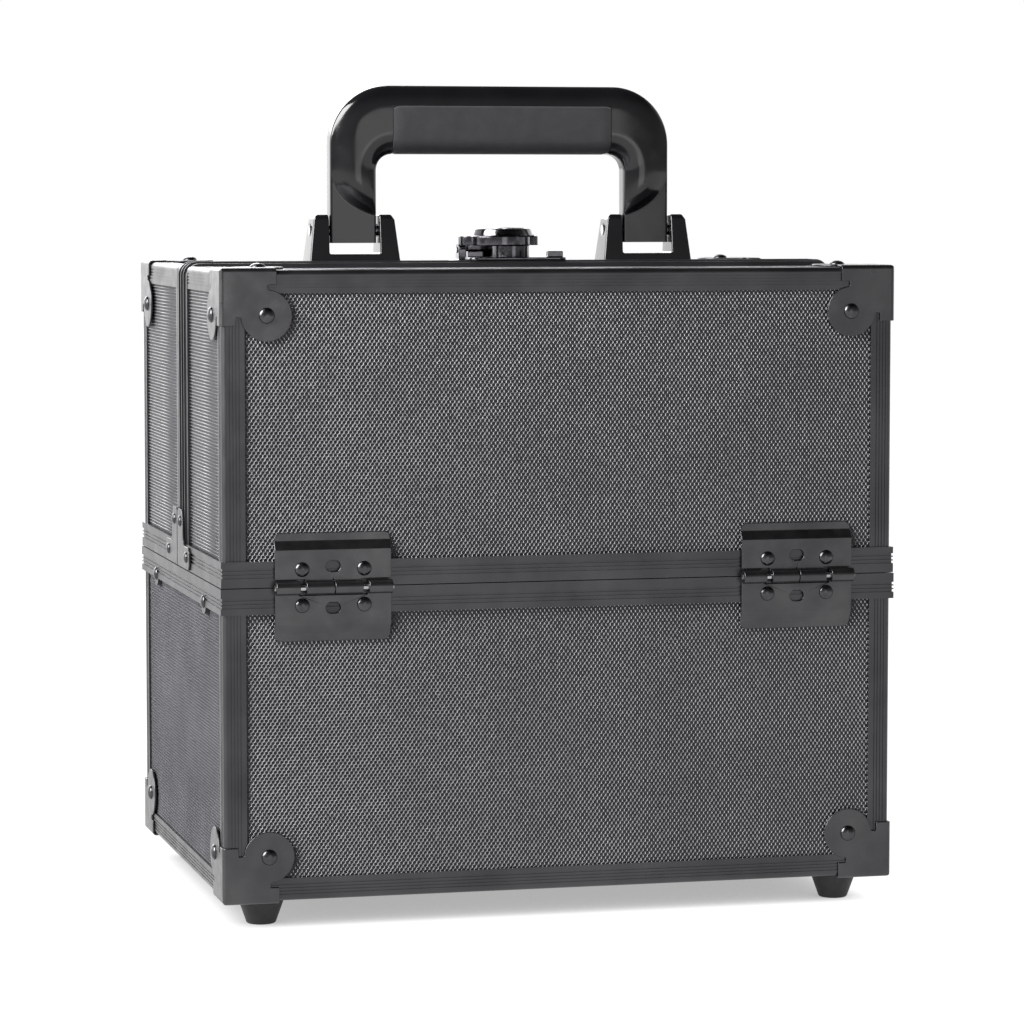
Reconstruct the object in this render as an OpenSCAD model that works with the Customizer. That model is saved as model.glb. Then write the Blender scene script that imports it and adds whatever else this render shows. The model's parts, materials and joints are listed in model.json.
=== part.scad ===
// Two-wing makeup train case: a tub with a wing hinged on each long edge, four trays
// carried out by the wings on parallel arms, a folding carry handle and a lever latch.
// The origin is the middle of the footprint at the bottom of the feet. The front is -Y.
// Every wing part is drawn on the front side, and mirrored for the rear wing.

/* [Case] */
// Overall width over the corner caps
case_w = 250; // [240:1:300]
// Overall depth over the corner caps
case_d = 178.4; // [178:0.1:190]
// Height of the body from the bottom caps to the top caps
case_h = 225.7; // [225:0.1:240]
// Thickness of the laminated boards
panel_t = 3.2; // [3:0.1:3.4]
// Thickness of the soft lining inside the boards
lining_t = 0.6; // [0.4:0.1:0.8]
// Gap between the tub and a wing, and between the two wings
seam_gap = 0.3; // [0.2:0.1:0.5]

/* [Edge rails] */
// Width of each flange of an edge rail
rail_w = 8.2; // [7:0.1:9]
// Thickness of an edge rail
rail_t = 1.0; // [0.9:0.1:1.2]
// Height of the rims on both sides of the middle seam
rim_w = 9.3; // [8:0.1:11]
// Width of the front wing's overlapping seam rail
seam_rail_w = 17; // [12:0.5:20]

/* [Corner caps] */
// Length of a cap's straight arms along the edges
cap_arm = 20.4; // [19:0.1:24]
// Distance of the round lobe's centre from both edges
cap_lobe_at = 16.8; // [15:0.1:18]
// Radius of the round lobe
cap_lobe_r = 9.1; // [8:0.1:10]
// Thickness of the pressed caps
cap_t = 0.8; // [0.6:0.1:1]

/* [Feet] */
// Height of the rubber feet
foot_h = 9.5; // [7:0.5:11]
// Radius of a foot at the case
foot_top_r = 8.6; // [7:0.1:9]
// Radius of a foot at the floor
foot_tip_r = 5.2; // [4.6:0.1:6]

/* [Hinges] */
// Width of a hinge
hinge_w = 42; // [36:1:48]
// Distance of each hinge's middle from the middle of the case
hinge_x = 86.2; // [80:0.1:90]
// Shift of both hinges to the right
hinge_shift = 1.2; // [0:0.1:2]
// Reach of each hinge leaf from the pin's axis
hinge_reach = 19.3; // [18.5:0.1:22]
// Outer radius of the hinge knuckles
knuckle_r = 2.5; // [2.3:0.1:2.7]

/* [Trays] */
// Depth of every tray from front to back
tray_d = 69; // [60:0.5:69]
// Height of the lower trays
low_tray_h = 33; // [28:0.5:33]
// Height of the upper trays
top_tray_h = 34; // [28:0.5:34]
// Wall and floor thickness of the trays
tray_t = 2; // [1.6:0.1:2.4]

/* [Handle] */
// Width over the handle's legs
handle_w = 132; // [125:1:140]
// Height of the handle above the case's top
handle_h = 66.4; // [62:0.1:75]
// Width of one leg
leg_w = 17.6; // [16:0.1:18]
// Length of the grip
grip_l = 85.3; // [78:0.1:86]
// Height of the grip
grip_h = 18.1; // [16:0.1:20]
// Height of the pivot above the case's top
handle_pivot_h = 12; // [12:0.1:14]

/* [Latch] */
// Radius of the lever's round middle
lever_r = 12.5; // [11:0.1:12.5]
// Length of the lever from lug to lug
lever_l = 31.2; // [29:0.1:34]
// Radius of the lock's barrel
lock_r = 7.4; // [6.5:0.1:7.5]

/* [Hidden] */
$fn = 48;
bore_fn = 64;
eps = 0.02;

// The case's main faces
rail_x = case_w / 2 - cap_t;
rail_y = case_d / 2 - cap_t;
body_z = foot_h;
rail_z = body_z + cap_t;
case_top = body_z + case_h;
rail_top = case_top - cap_t;
seam_z = body_z + case_h / 2;
half_gap = seam_gap / 2;
board_x = rail_x - rail_t;
board_y = rail_y - rail_t;
board_z = rail_z + rail_t;
board_top = rail_top - rail_t;
inner_x = board_x - panel_t;
inner_y = board_y - panel_t;
inner_z = board_z + panel_t;
inner_top = board_top - panel_t;
room_x = inner_x - lining_t;
room_y = inner_y - lining_t;
room_z = inner_z + lining_t;
room_top = inner_top - lining_t;

// Rims and seam rails
tub_proud = 1.0;
wing_proud = 0.8;
seam_top_proud = 1.6;
web_t = 1.2;
lip_t = 0.6;
lip_h = 3;
edge_r = 1.8;
flute_w = 0.55;
flute_d = 0.3;
flute_pitch = 1.15;
flutes = 4;
mitre = 10;
mitre_gap = 0.02;
tub_edge = seam_z - half_gap;
wing_edge = seam_z + half_gap;
seam_end = -half_gap;
board_end = seam_end - web_t;

// Hinges: the pin's axis stands just outside the rims
leaf_t = 1.2;
axis_y = -(rail_y + tub_proud + 0.25 + knuckle_r);
leaf_y = -(rail_y + tub_proud);
leaf_start = knuckle_r + 0.3;
leaf_step = 13.4;
leaf_tab = 16.4;
pin_r = 1.1;
run_gap = 0.05;

// Trays and arms, measured from a hinge axis: inwards, then upwards
low_tray_z = 13;
top_tray_z = 50;
tray_y = 18;
tray_x = 114;
low_pivot = [28, 28];
top_pivot = [57, 57];
anchor = [24, -2];
anchor_rivet = [38.45, -7.85];
arm_x = 115.5;
arm_t = 1.2;
arm_r = 4;
stud_r = 2;
side_gap = 0.3;

// Handle and latch places
handle_y = 8;
handle_z = case_top + handle_pivot_h;
leg_x = handle_w / 2 - leg_w / 2;
leg_t = 7;
bulge_t = 14;
bulge_r = 22;
ear_gap = leg_w + 1.8;
ear_h = 18.8;
lever_y = 6.5;
lever_x = -0.6;
lever_z = case_top + 6.3;
lever_t = 3.5;
lock_x = 4.5;
lock_y = 8.2;
plug_r = 3.5;
latch_pin_y = 21;
latch_pin_z = case_top + 4.3;
latch_knuckle_r = 2.8;

metal = "#4e4e50";
black = "#1c1c1e";
board_c = "#5a5a5c";

// ---------- shared helpers ----------

// A box from its lowest to its highest corner
module block(low, high) translate(low) cube(high - low);

// The children and their mirror image on the other end of the case
module both_ends() {
    children();
    mirror([1, 0, 0]) children();
}

// The children and their mirror image on the other long side
module both_sides() {
    children();
    mirror([0, 1, 0]) children();
}

// The rear wing's copy of a part drawn on the front wing
module rear() mirror([0, 1, 0]) children();

// A domed rivet head standing on the plane z = 0
module dome(r, h) {
    ball = (r * r + h * h) / (2 * h);
    rotate_extrude() intersection() {
        translate([0, h - ball]) circle(ball);
        square([r, h]);
    }
}

// Turns a shape drawn up from z = 0 so that it stands on the front or on the left side
module facing_front() rotate([90, 0, 0]) children();
module facing_left() rotate([0, -90, 0]) children();

// A rectangle with round corners, from the lowest corner
module round_rect(w, d, r) {
    translate([r, 0]) square([w - 2 * r, d]);
    translate([0, r]) square([w, d - 2 * r]);
    for (x = [r, w - r], y = [r, d - r]) translate([x, y]) circle(r);
}

// A flat bar with round ends between two points; its straight sides lie a hair inside the
// round ends, so that no two curves only touch
module bar(p, q, r) {
    turn = atan2(q[1] - p[1], q[0] - p[0]);
    translate(p) rotate(turn) translate([0, eps - r]) square([norm(q - p), 2 * (r - eps)]);
    translate(p) circle(r);
    translate(q) circle(r);
}

// ---------- edge rails ----------

// L-shaped rail: its outer edge is at the origin, and both flanges carry flutes
module rail_section() difference() {
    union() {
        square([rail_w, rail_t]);
        square([rail_t, rail_w]);
    }
    difference() {
        translate([-eps, -eps]) square(edge_r);
        translate([edge_r, edge_r]) circle(edge_r);
    }
    for (i = [0 : flutes - 1]) {
        at = edge_r + 0.5 + i * flute_pitch;
        translate([at, -1]) square([flute_w, 1 + flute_d]);
        translate([-1, at]) square([1 + flute_d, flute_w]);
    }
}

// Rail up the front left edge, between two heights
module post(z0, z1) translate([-rail_x, -rail_y, z0]) linear_extrude(z1 - z0) rail_section();

// Rails round the top: along the front edge, and along the left edge between two depths
module top_front_rail() {
    l = 2 * (rail_x - rail_w);
    translate([-l / 2, -rail_y, rail_top]) rotate([0, 90, 0]) linear_extrude(l) rail_section();
}

module top_left_rail(y0, y1)
    translate([-rail_x, y0, rail_top]) rotate([-90, 0, 0]) linear_extrude(y1 - y0) rail_section();

// Rails round the bottom: along the front edge and along the left edge
module bottom_front_rail() {
    l = 2 * (rail_x - rail_w);
    translate([l / 2, -rail_y, rail_z]) rotate([0, -90, 0]) linear_extrude(l) rail_section();
}

module bottom_left_rail() {
    l = 2 * (rail_y - rail_w);
    translate([-rail_x, l / 2, rail_z]) rotate([90, 0, 0]) linear_extrude(l) rail_section();
}

// U-shaped rim: outer flange with three flutes, a web over the board's edge, an inner lip.
// X runs away from the seam and Y runs inwards.
module rim_section(proud) {
    deep = rail_t + panel_t + lining_t + lip_t + proud;
    difference() {
        square([rim_w, rail_t + proud]);
        for (i = [0 : 2]) translate([3.3 + i * 1.35, -1]) square([0.95, 1.5]);
    }
    square([web_t, deep]);
    translate([0, deep - lip_t]) square([lip_h, lip_t]);
}

// One mitred side of a rim, standing on the front of a frame that hangs from z = 0
module rim_side(len, dist, proud) intersection() {
    translate([-len / 2, -dist, 0]) rotate([0, 90, 0]) linear_extrude(len) rim_section(proud);
    translate([0, 0, -rim_w - 1]) linear_extrude(rim_w + 2) polygon([
        [mitre_gap - len / 2, -dist], [len / 2 - mitre_gap, -dist],
        [len / 2 - mitre_gap - mitre, mitre - dist], [mitre_gap + mitre - len / 2, mitre - dist]]);
}

// The four rim sides of a frame that hangs from z = 0
module rim_frame(proud) {
    w = 2 * (rail_x + proud);
    d = 2 * (rail_y + proud);
    both_sides() rim_side(w, d / 2, proud);
    both_ends() rotate([0, 0, -90]) rim_side(d, w / 2, proud);
}

// ---------- corner caps ----------

// Outline of one face of a cap, from the case's corner
module cap_outline() {
    square(cap_lobe_at + 0.6);
    square([cap_arm, 5.8]);
    square([5.8, cap_arm]);
    translate([cap_lobe_at, cap_lobe_at]) circle(cap_lobe_r);
}

// Removes a square edge outside a round one of radius r, along z
module edge_cut(len, r) translate([0, 0, -1]) linear_extrude(len + 2) difference() {
    translate([-1, -1]) square(r + 1);
    translate([r, r]) circle(r);
}

// Three-sided cap with its point at the origin, growing along +X, +Y and +Z
module cap() difference() {
    union() {
        linear_extrude(cap_t) cap_outline();
        rotate([90, 0, 90]) linear_extrude(cap_t) cap_outline();
        mirror([0, 1, 0]) rotate([90, 0, 0]) linear_extrude(cap_t) cap_outline();
    }
    edge_cut(cap_arm, 1.6);
    rotate([90, 0, 90]) edge_cut(cap_arm, 1.6);
    mirror([0, 1, 0]) rotate([90, 0, 0]) edge_cut(cap_arm, 1.6);
}

// Cap of the front left corner, at the bottom or at the top of the case
module bottom_cap() difference() {
    translate([-case_w / 2, -case_d / 2, body_z]) cap();
    translate([cap_lobe_at - case_w / 2, cap_lobe_at - case_d / 2, body_z - 1])
        cylinder(r = 1.9, h = cap_t + 2, $fn = bore_fn);
}

module top_cap()
    translate([-case_w / 2, -case_d / 2, case_top]) mirror([0, 0, 1]) cap();

// Rivets in the front lobe and the side lobe of a cap whose lobes are at height z
module cap_rivets(z) {
    translate([cap_lobe_at - case_w / 2, -case_d / 2, z]) facing_front() dome(2.85, 1.4);
    translate([-case_w / 2, cap_lobe_at - case_d / 2, z]) facing_left() dome(2.85, 1.4);
}

// ---------- tub ----------

module base_front_panel() color(board_c)
    block([-board_x, -board_y, board_z], [board_x, -inner_y, tub_edge - web_t]);

module base_rear_panel() rear() base_front_panel();

module base_side_panels() color(board_c) both_ends()
    block([-board_x, -inner_y, board_z], [-inner_x, inner_y, tub_edge - web_t]);

module base_floor_panel() color(board_c) difference() {
    block([-inner_x, -inner_y, board_z], [inner_x, inner_y, inner_z]);
    both_ends() both_sides() foot_at(board_z - 1) cylinder(r = 1.9, h = panel_t + 2, $fn = bore_fn);
}

module base_lining() color("#161616") difference() {
    block([-inner_x, -inner_y, inner_z], [inner_x, inner_y, tub_edge - web_t]);
    block([-room_x, -room_y, room_z], [room_x, room_y, tub_edge]);
}

module base_corner_posts() color(metal)
    both_ends() both_sides() post(rail_z + rail_w, tub_edge - rim_w);

module base_bottom_rails() color(metal) {
    both_sides() bottom_front_rail();
    both_ends() bottom_left_rail();
}

// The side rims carry a round tab under each anchor rivet
module base_rim_rails() color(metal) {
    translate([0, 0, tub_edge]) rim_frame(tub_proud);
    both_ends() both_sides() difference() {
        translate([-board_x, axis_y + anchor_rivet[0], seam_z + anchor_rivet[1]])
            facing_left() cylinder(r = 4.6, h = rail_t + tub_proud);
        block([-case_w, -case_d, tub_edge - rim_w], [0, 0, tub_edge]);
    }
}

module base_corner_caps() color(metal) both_ends() both_sides() bottom_cap();

module base_rivets() color(metal) both_ends() both_sides() {
    cap_rivets(body_z + cap_lobe_at);
    translate([-rail_x - tub_proud, axis_y + anchor_rivet[0], seam_z + anchor_rivet[1]])
        facing_left() dome(2.5, 1.2);
}

// The two hinges of one long side, each drawn about the pin's axis
module hinge_places() for (side = [-1, 1]) translate([side * hinge_x + hinge_shift, 0, seam_z])
    children();

// Rivets on the face of one leaf that stands up from the axis
module leaf_rivets() for (x = [-11.2, 11.2])
    translate([x, leaf_y - leaf_t, 6.4]) facing_front() dome(2.65, 1.3);

module foot_at(z)
    translate([cap_lobe_at - case_w / 2, cap_lobe_at - case_d / 2, z]) children();

module rubber_feet() color("#151515") both_ends() both_sides() foot_at(0) difference() {
    cylinder(r1 = foot_tip_r, r2 = foot_top_r, h = body_z);
    translate([0, 0, -1]) cylinder(r = 3.6, h = 4.5);
    translate([0, 0, -1]) cylinder(r = 1.9, h = body_z + 2, $fn = bore_fn);
}

module foot_screws() color("#8a8a8c") both_ends() both_sides() foot_at(1.4) difference() {
    union() {
        cylinder(r = 3.3, h = 2.1);
        cylinder(r = 1.75, h = board_z + panel_t - 1.6);
    }
    for (a = [0, 90]) rotate(a) translate([-1.8, -0.35, -1]) cube([3.6, 0.7, 2.2]);
}

// Section of a hinge leaf from the pin's axis outwards: flat over the rim, then stepped in
// to the board
module leaf_section() polygon([
    [leaf_y - leaf_t, leaf_start], [leaf_y - leaf_t, leaf_step],
    [-board_y - leaf_t, leaf_tab], [-board_y - leaf_t, hinge_reach],
    [-board_y, hinge_reach], [-board_y, leaf_tab - 0.3],
    [leaf_y, leaf_step - 0.3], [leaf_y, leaf_start]]);

// Outline of a leaf seen from the front, with round outer corners and an oval slot
module leaf_outline() difference() {
    union() {
        translate([-hinge_w / 2, 0]) square([hinge_w, hinge_reach - 3]);
        translate([-hinge_w / 2, leaf_start]) round_rect(hinge_w, hinge_reach - leaf_start, 2.4);
    }
    bar([-0.7, 7.4], [0.7, 7.4], 2);
}

// Barrel knuckles between two places along the pin, with the web that joins them to a leaf
module knuckle(x0, x1) difference() {
    union() {
        translate([x0, axis_y, 0]) rotate([0, 90, 0]) cylinder(r = knuckle_r, h = x1 - x0);
        block([x0, leaf_y - leaf_t, 0], [x1, leaf_y, leaf_start + 0.2]);
    }
    translate([x0 - 1, axis_y, 0]) rotate([0, 90, 0])
        cylinder(r = pin_r + run_gap, h = x1 - x0 + 2, $fn = bore_fn);
}

// One leaf standing up from the axis, with its knuckles at the given spans
module leaf(spans) {
    intersection() {
        translate([-hinge_w / 2, 0, 0]) rotate([90, 0, 90]) linear_extrude(hinge_w) leaf_section();
        translate([0, -board_y + 5, 0]) rotate([90, 0, 0]) linear_extrude(20) leaf_outline();
    }
    for (s = spans) knuckle(s[0], s[1]);
}

outer_spans = [[-hinge_w / 2, -hinge_w / 2 + 8.6], [hinge_w / 2 - 8.6, hinge_w / 2]];
middle_spans = [[-10.2, -0.15], [0.15, 10.2]];

module hinge_lower_leaves() color(metal) both_sides() hinge_places() mirror([0, 0, 1])
    leaf(outer_spans);

module base_hinge_rivets() color(metal) both_sides() hinge_places() mirror([0, 0, 1])
    leaf_rivets();

module hinge_pins() color("#b9b9bb") both_sides() hinge_places()
    translate([-hinge_w / 2 - 0.5, axis_y, 0]) rotate([0, 90, 0])
        cylinder(r = pin_r, h = hinge_w + 1, $fn = bore_fn);

// Inner plate that each pair of tray arms turns on, with its pin
module arm_anchor_plates() color("#9a9a9c") both_ends() both_sides()
    translate([-room_x, axis_y, seam_z]) {
        in = room_x - arm_x - arm_t - side_gap;
        rotate([90, 0, 90]) translate([0, 0, 0.9]) linear_extrude(in - 0.9)
            bar(anchor, anchor_rivet, 5);
        rotate([90, 0, 90]) translate([anchor_rivet[0], anchor_rivet[1], 0])
            cylinder(r = 3.8, h = 1);
        rotate([90, 0, 90]) translate([anchor[0], anchor[1], in - eps]) {
            cylinder(r = stud_r, h = arm_t + 2 * side_gap + eps, $fn = bore_fn);
            translate([0, 0, arm_t + 2 * side_gap]) cylinder(r = 3.2, h = 0.8);
        }
    }

// ---------- wings ----------

module front_wing_face_panel() color(board_c)
    block([-board_x, -board_y, wing_edge + web_t], [board_x, -inner_y, board_top]);

module front_wing_top_panel() color(board_c)
    block([-board_x, -inner_y, inner_top], [board_x, board_end, board_top]);

module front_wing_side_panels() color(board_c) both_ends()
    block([-board_x, -inner_y, wing_edge + web_t], [-inner_x, board_end, inner_top]);

module front_wing_lining() color("#161616") difference() {
    block([-inner_x, -inner_y, wing_edge + web_t], [inner_x, board_end, inner_top]);
    block([-room_x, -room_y, wing_edge], [room_x, 0, room_top]);
}

module wing_edge_rails(side_rail_end) color(metal) {
    both_ends() post(wing_edge + rim_w, rail_top - rail_w);
    top_front_rail();
    both_ends() top_left_rail(-rail_y + rail_w, side_rail_end);
}

module front_wing_rim_rails() color(metal) intersection() {
    translate([0, 0, wing_edge]) mirror([0, 0, 1]) rim_frame(wing_proud);
    block([-case_w, -case_d, 0], [case_w, seam_end, case_top]);
}

// Outline of an arch with round top corners
module arch(w, top, r) {
    foot = wing_edge + rim_w;
    translate([-w, foot]) square([2 * w, top - r - foot]);
    translate([r - w, foot]) square([2 * (w - r), top - foot]);
    for (x = [r - w, w - r]) translate([x, top - r]) circle(r);
}

// One slice of a seam rail between two depths: an arch set in by a depth of flute
module seam_slice(y0, y1, x, top, r, inset) translate([0, y1, 0]) rotate([90, 0, 0])
    linear_extrude(y1 - y0) difference() {
        arch(x - inset, top - inset, r);
        translate([-board_x, 0]) square([2 * board_x, board_top]);
    }

// The rail's web over the edges of the side boards and the top board
module seam_web(x, top, r) translate([0, seam_end, 0]) rotate([90, 0, 0])
    linear_extrude(web_t) difference() {
        arch(x, top, r);
        translate([-room_x, 0]) square([2 * room_x, room_top]);
    }

// Wide rail that overlaps the seam; its flutes run round the arch
module front_wing_seam_rail() color(metal) {
    x = rail_x + wing_proud;
    top = rail_top + seam_top_proud;
    cuts = [0, 1.4, 2.2, 6.6, 7.4, 12.2, 12.9, seam_rail_w];
    insets = [0.35, 0, 0.6, 0, 0.6, 0, 0.6];
    for (i = [0 : len(insets) - 1])
        seam_slice(seam_end - cuts[i + 1], seam_end - cuts[i], x, top, 5, insets[i]);
    seam_web(x - 0.35, top - 0.35, 5);
}

module wing_corner_caps() color(metal) both_ends() top_cap();

// Outline of a seam bracket: up the seam rail, then along the rim; Y is height over the seam
module bracket_outline() polygon([
    [-0.6, 0.5], [-24, 0.5], [-25.6, 2.4], [-25.6, 7], [-23.6, 8.9], [-14.2, 8.9],
    [-11.9, 11.2], [-11.2, 18.2], [-9.4, 21.8], [-1.7, 21.8], [-0.6, 20.7]]);

// Bracket on the left end; back is how far its upright leg is packed out behind
module seam_bracket(back) {
    translate([-rail_x - wing_proud, 0, seam_z]) rotate([0, -90, 0]) rotate([0, 0, -90])
        mirror([1, 0, 0]) linear_extrude(cap_t) bracket_outline();
    if (back > 0) block([-rail_x - wing_proud, -8, wing_edge + rim_w + 0.2],
                        [back - rail_x - wing_proud, -1, seam_z + 21]);
}

module front_wing_seam_brackets() color(metal) both_ends() seam_bracket(0);

module wing_rivets() color(metal) both_ends() {
    cap_rivets(case_top - cap_lobe_at);
    translate([cap_lobe_at - case_w / 2, cap_lobe_at - case_d / 2, case_top]) dome(2.85, 1.4);
    for (p = [[-6.4, 17.4], [-19.6, 5]])
        translate([-rail_x - wing_proud - cap_t, p[0], seam_z + p[1]])
            facing_left() dome(2.1, 1);
}

module front_hinge_upper_leaves() color(metal) hinge_places() leaf(middle_spans);

module front_hinge_rivets() color(metal) hinge_places() leaf_rivets();

// Studs that the trays turn on: a disc on the lining, a pin and an inner head
module front_tray_studs() color("#9a9a9c") both_ends() for (p = [low_pivot, top_pivot])
    translate([-room_x, axis_y + p[0], seam_z + p[1]]) rotate([0, 90, 0]) {
        cylinder(r = 6, h = 0.8);
        cylinder(r = stud_r, h = room_x - tray_x + tray_t + side_gap, $fn = bore_fn);
        translate([0, 0, room_x - tray_x + tray_t + side_gap]) cylinder(r = 3.5, h = 0.8);
    }

// Low plate on the front wing with a raised tab at each end
module latch_keeper() color(metal) {
    z = rail_top + seam_top_proud;
    difference() {
        translate([-16.4, -15, z]) linear_extrude(1.2) round_rect(37.4, 12, 3);
        for (x = [-11.5, 16]) translate([x, -11, z - 1]) cylinder(r = 1.4, h = 4);
    }
    for (x = [-16.4, 14.8]) translate([x, -8.6, z]) cube([6.2, 1.6, 3.4]);
}

module rear_wing_face_panel() rear() front_wing_face_panel();
module rear_wing_top_panel() rear() front_wing_top_panel();
module rear_wing_side_panels() rear() front_wing_side_panels();
module rear_wing_lining() rear() front_wing_lining();
module rear_wing_rim_rails() rear() front_wing_rim_rails();
module rear_wing_corner_caps() rear() wing_corner_caps();
module rear_wing_rivets() rear() wing_rivets();
module rear_hinge_upper_leaves() rear() front_hinge_upper_leaves();
module rear_hinge_rivets() rear() front_hinge_rivets();
module rear_tray_studs() rear() front_tray_studs();

// Flush rail on the rear wing's side of the seam
module rear_wing_seam_rail() color(metal) rear() {
    cuts = [0, 2.6, 3.2, 4.4, 5, rail_w];
    insets = [0, 0.3, 0, 0.3, 0];
    for (i = [0 : len(insets) - 1])
        seam_slice(seam_end - cuts[i + 1], seam_end - cuts[i], rail_x, rail_top, 1.5, insets[i]);
    seam_web(rail_x, rail_top, 1.5);
}

module rear_wing_seam_brackets() color(metal) rear() both_ends() seam_bracket(wing_proud);

// ---------- trays and arms ----------

// Moulded tray with wells and a stub pin at each end that its arm turns on
module tray(z, h, wells, pivot) {
    y0 = axis_y + tray_y;
    step = (2 * tray_x - tray_t) / wells;
    difference() {
        block([-tray_x, y0, seam_z + z], [tray_x, y0 + tray_d, seam_z + z + h]);
        for (i = [0 : wells - 1])
            translate([-tray_x + tray_t + i * step, y0 + tray_t, seam_z + z + tray_t])
                linear_extrude(h) round_rect(step - tray_t, tray_d - 2 * tray_t, 4);
        both_ends() translate([-tray_x - 1, axis_y + pivot[0], seam_z + pivot[1]])
            rotate([0, 90, 0]) cylinder(r = stud_r + run_gap, h = tray_t + 2, $fn = bore_fn);
    }
    both_ends() translate([-tray_x, axis_y + anchor[0] + pivot[0], seam_z + anchor[1] + pivot[1]])
        rotate([0, -90, 0]) {
            cylinder(r = 1.8, h = arm_x - tray_x + arm_t + side_gap);
            translate([0, 0, arm_x - tray_x + arm_t + side_gap]) cylinder(r = 3, h = 0.8);
        }
}

module front_lower_tray() color(black) tray(low_tray_z, low_tray_h, 3, low_pivot);
module front_upper_tray() color(black) tray(top_tray_z, top_tray_h, 4, top_pivot);
module rear_lower_tray() rear() front_lower_tray();
module rear_upper_tray() rear() front_upper_tray();

// One long arm at each end, from the tub's anchor to the lower and the upper tray.
// The holes at the trays are wide, so that only the anchor locates the arm.
module front_arms() color("#9a9a9c") both_ends() translate([-arm_x - arm_t, axis_y, seam_z])
    rotate([90, 0, 90]) difference() {
        linear_extrude(arm_t) bar(anchor, anchor + top_pivot, arm_r);
        translate([anchor[0], anchor[1], -1])
            cylinder(r = stud_r + run_gap, h = arm_t + 2, $fn = bore_fn);
        for (p = [low_pivot, top_pivot])
            translate([anchor[0] + p[0], anchor[1] + p[1], -1])
                cylinder(r = 2.3, h = arm_t + 2, $fn = bore_fn);
    }

module rear_arms() rear() front_arms();

// ---------- handle ----------

// Outline of the handle from the front, with its window and the recess for the grip
module handle_outline() difference() {
    top = case_top + handle_h;
    foot = handle_z - 4.7;
    corner = 22;
    union() {
        translate([-handle_w / 2, foot]) square([handle_w, top - corner - foot]);
        translate([corner - handle_w / 2, foot]) square([handle_w - 2 * corner, top - foot]);
        for (x = [corner - handle_w / 2, handle_w / 2 - corner])
            translate([x, top - corner]) circle(corner);
    }
    window_top = top - 7.6 - grip_h;
    window = handle_w / 2 - leg_w;
    translate([-window, foot - 1]) square([2 * window, window_top - foot - 5]);
    translate([6 - window, foot - 1]) square([2 * (window - 6), window_top - foot + 1]);
    for (x = [6 - window, window - 6]) translate([x, window_top - 6]) circle(6);
    translate([-grip_l / 2, window_top - 1]) square([grip_l, grip_h + 1]);
}

// A slab of the handle's outline, as thick as given, centred on the pivot
module handle_slab(t) translate([0, handle_y + t / 2, 0]) rotate([90, 0, 0])
    linear_extrude(t) children();

// Slim legs at the pivots; the bends above them are thicker, down to a curved edge
module handle_frame() color(black) difference() {
    union() {
        handle_slab(leg_t) handle_outline();
        handle_slab(bulge_t) intersection() {
            handle_outline();
            union() {
                for (side = [-1, 1])
                    translate([side * (handle_w / 2 - bulge_r), handle_z + bulge_r + 2])
                        circle(bulge_r);
                translate([-handle_w / 2, handle_z + bulge_r + 2]) square([handle_w, handle_h]);
            }
        }
    }
    translate([-handle_w, handle_y, handle_z]) rotate([0, 90, 0])
        cylinder(r = stud_r + run_gap, h = 2 * handle_w, $fn = bore_fn);
}

module handle_grip() color("#38383a") {
    z = case_top + handle_h - 7.6 - grip_h;
    translate([-grip_l / 2, handle_y, z]) rotate([90, 0, 90]) linear_extrude(grip_l) {
        translate([-8, 6]) square([16, grip_h - 6]);
        translate([-2, 0]) square([4, grip_h]);
        for (y = [-2, 2]) translate([y, 6]) circle(6);
    }
}

// Outline of a bracket from the front: two tapering ears over a floor
module ears_outline() difference() {
    polygon([[-17.5, 0], [17.5, 0], [15.6, ear_h - 2], [14.4, ear_h], [-14.4, ear_h],
             [-15.6, ear_h - 2]]);
    translate([-ear_gap / 2, 4]) square([ear_gap, ear_h]);
}

module handle_brackets() color(black) both_ends() difference() {
    translate([-leg_x, 0, rail_top]) intersection() {
        translate([0, 30, 0]) rotate([90, 0, 0]) linear_extrude(60) ears_outline();
        translate([-30, 0, 0]) rotate([90, 0, 90]) linear_extrude(60) polygon([
            [0.7, 0], [15.7, 0], [13.2, ear_h - 2], [12, ear_h], [4, ear_h], [2.8, ear_h - 2]]);
    }
    translate([-leg_x - 30, handle_y, handle_z]) rotate([0, 90, 0])
        cylinder(r = stud_r, h = 60, $fn = bore_fn);
}

module handle_pivot_pins() color("#6c6c6e") both_ends()
    translate([-leg_x - 16.4, handle_y, handle_z]) rotate([0, 90, 0])
        cylinder(r = stud_r, h = 32.8, $fn = bore_fn);

// ---------- latch ----------

module latch_pin_hole(r) translate([-40, latch_pin_y, latch_pin_z]) rotate([0, 90, 0])
    cylinder(r = r, h = 80, $fn = bore_fn);

// Plate on the rear wing with two ears that hold the lever's pin
module latch_base_plate() color(metal) difference() {
    union() {
        translate([-16.4, 0.7, rail_top]) linear_extrude(1.4) round_rect(37.4, 23.8, 3);
        block([-16.4, rail_w + 0.4, board_top], [21, 21, rail_top]);
        for (x = [-13.2, 10.2]) {
            block([x, latch_pin_y - latch_knuckle_r, rail_top],
                  [x + 3, latch_pin_y + latch_knuckle_r, latch_pin_z]);
            translate([x, latch_pin_y, latch_pin_z]) rotate([0, 90, 0])
                cylinder(r = latch_knuckle_r, h = 3);
        }
    }
    latch_pin_hole(1.2);
}

module latch_pin() color("#9a9a9c") translate([-13.6, latch_pin_y, latch_pin_z])
    rotate([0, 90, 0]) cylinder(r = 1.2, h = 27.2, $fn = bore_fn);

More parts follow.
